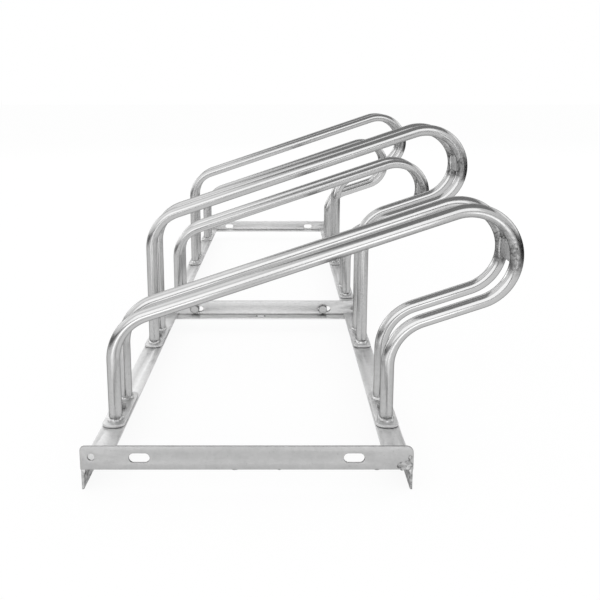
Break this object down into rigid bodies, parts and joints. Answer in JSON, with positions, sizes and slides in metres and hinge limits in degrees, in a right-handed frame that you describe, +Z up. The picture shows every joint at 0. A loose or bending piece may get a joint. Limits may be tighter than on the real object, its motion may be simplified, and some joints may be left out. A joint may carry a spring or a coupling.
{
  "type": "bicycle rack",
  "caption": "Floor-standing steel rack: pairs of tube hoops on a bolted angle-iron base hold bicycles by the front wheel, low and high in turn along the row.",
  "frame": {"origin": "on the floor, under the middle of the box round the whole rack", "axes": "+Z up, +Y along the row from the frame nearest the camera to the farthest, +X towards the hoops' noses"},
  "size_m": [0.5568, 1.7496, 0.4156],
  "materials": {
    "galvanised_tube": "hot-dip galvanised tube, bright satin with lengthwise streaks",
    "galvanised_angle": "hot-dip galvanised angle iron, satin grey and slightly mottled",
    "galvanised_flat_bar": "hot-dip galvanised flat bar, satin grey",
    "zinc_plated_fastener": "zinc-plated, darker satin"
  },
  "bodies": {
    "root": {"near_frame_left_rail": "galvanised_angle", "near_frame_right_rail": "galvanised_angle", "near_frame_front_plate": "galvanised_flat_bar", "near_frame_back_angle": "galvanised_angle", "far_frame_left_rail": "galvanised_angle", "far_frame_right_rail": "galvanised_angle", "far_frame_front_plate": "galvanised_flat_bar", "far_frame_back_angle": "galvanised_angle", "place_1_near_hoop": "galvanised_tube", "place_1_far_hoop": "galvanised_tube", "place_1_nose_plate": "galvanised_flat_bar", "place_1_left_foot_plate": "galvanised_flat_bar", "place_1_right_foot_plate": "galvanised_flat_bar", "place_1_left_bolt": "zinc_plated_fastener", "place_1_right_bolt": "zinc_plated_fastener", "place_1_left_nut": "zinc_plated_fastener", "place_1_right_nut": "zinc_plated_fastener", "place_2_near_hoop": "galvanised_tube", "place_2_far_hoop": "galvanised_tube", "place_2_nose_plate": "galvanised_flat_bar", "place_2_left_foot_plate": "galvanised_flat_bar", "place_2_right_foot_plate": "galvanised_flat_bar", "place_2_left_bolt": "zinc_plated_fastener", "place_2_right_bolt": "zinc_plated_fastener", "place_2_left_nut": "zinc_plated_fastener", "place_2_right_nut": "zinc_plated_fastener", "place_3_near_hoop": "galvanised_tube", "place_3_far_hoop": "galvanised_tube", "place_3_nose_plate": "galvanised_flat_bar", "place_3_left_foot_plate": "galvanised_flat_bar", "place_3_right_foot_plate": "galvanised_flat_bar", "place_3_left_bolt": "zinc_plated_fastener", "place_3_right_bolt": "zinc_plated_fastener", "place_3_left_nut": "zinc_plated_fastener", "place_3_right_nut": "zinc_plated_fastener", "place_4_near_hoop": "galvanised_tube", "place_4_far_hoop": "galvanised_tube", "place_4_nose_plate": "galvanised_flat_bar", "place_4_left_foot_plate": "galvanised_flat_bar", "place_4_right_foot_plate": "galvanised_flat_bar", "place_4_left_bolt": "zinc_plated_fastener", "place_4_right_bolt": "zinc_plated_fastener", "place_4_left_nut": "zinc_plated_fastener", "place_4_right_nut": "zinc_plated_fastener", "place_5_near_hoop": "galvanised_tube", "place_5_far_hoop": "galvanised_tube", "place_5_nose_plate": "galvanised_flat_bar", "place_5_left_foot_plate": "galvanised_flat_bar", "place_5_right_foot_plate": "galvanised_flat_bar", "place_5_left_bolt": "zinc_plated_fastener", "place_5_right_bolt": "zinc_plated_fastener", "place_5_left_nut": "zinc_plated_fastener", "place_5_right_nut": "zinc_plated_fastener", "joining_left_bolt": "zinc_plated_fastener", "joining_right_bolt": "zinc_plated_fastener", "joining_left_nut": "zinc_plated_fastener", "joining_right_nut": "zinc_plated_fastener"}
  },
  "joints": []
}
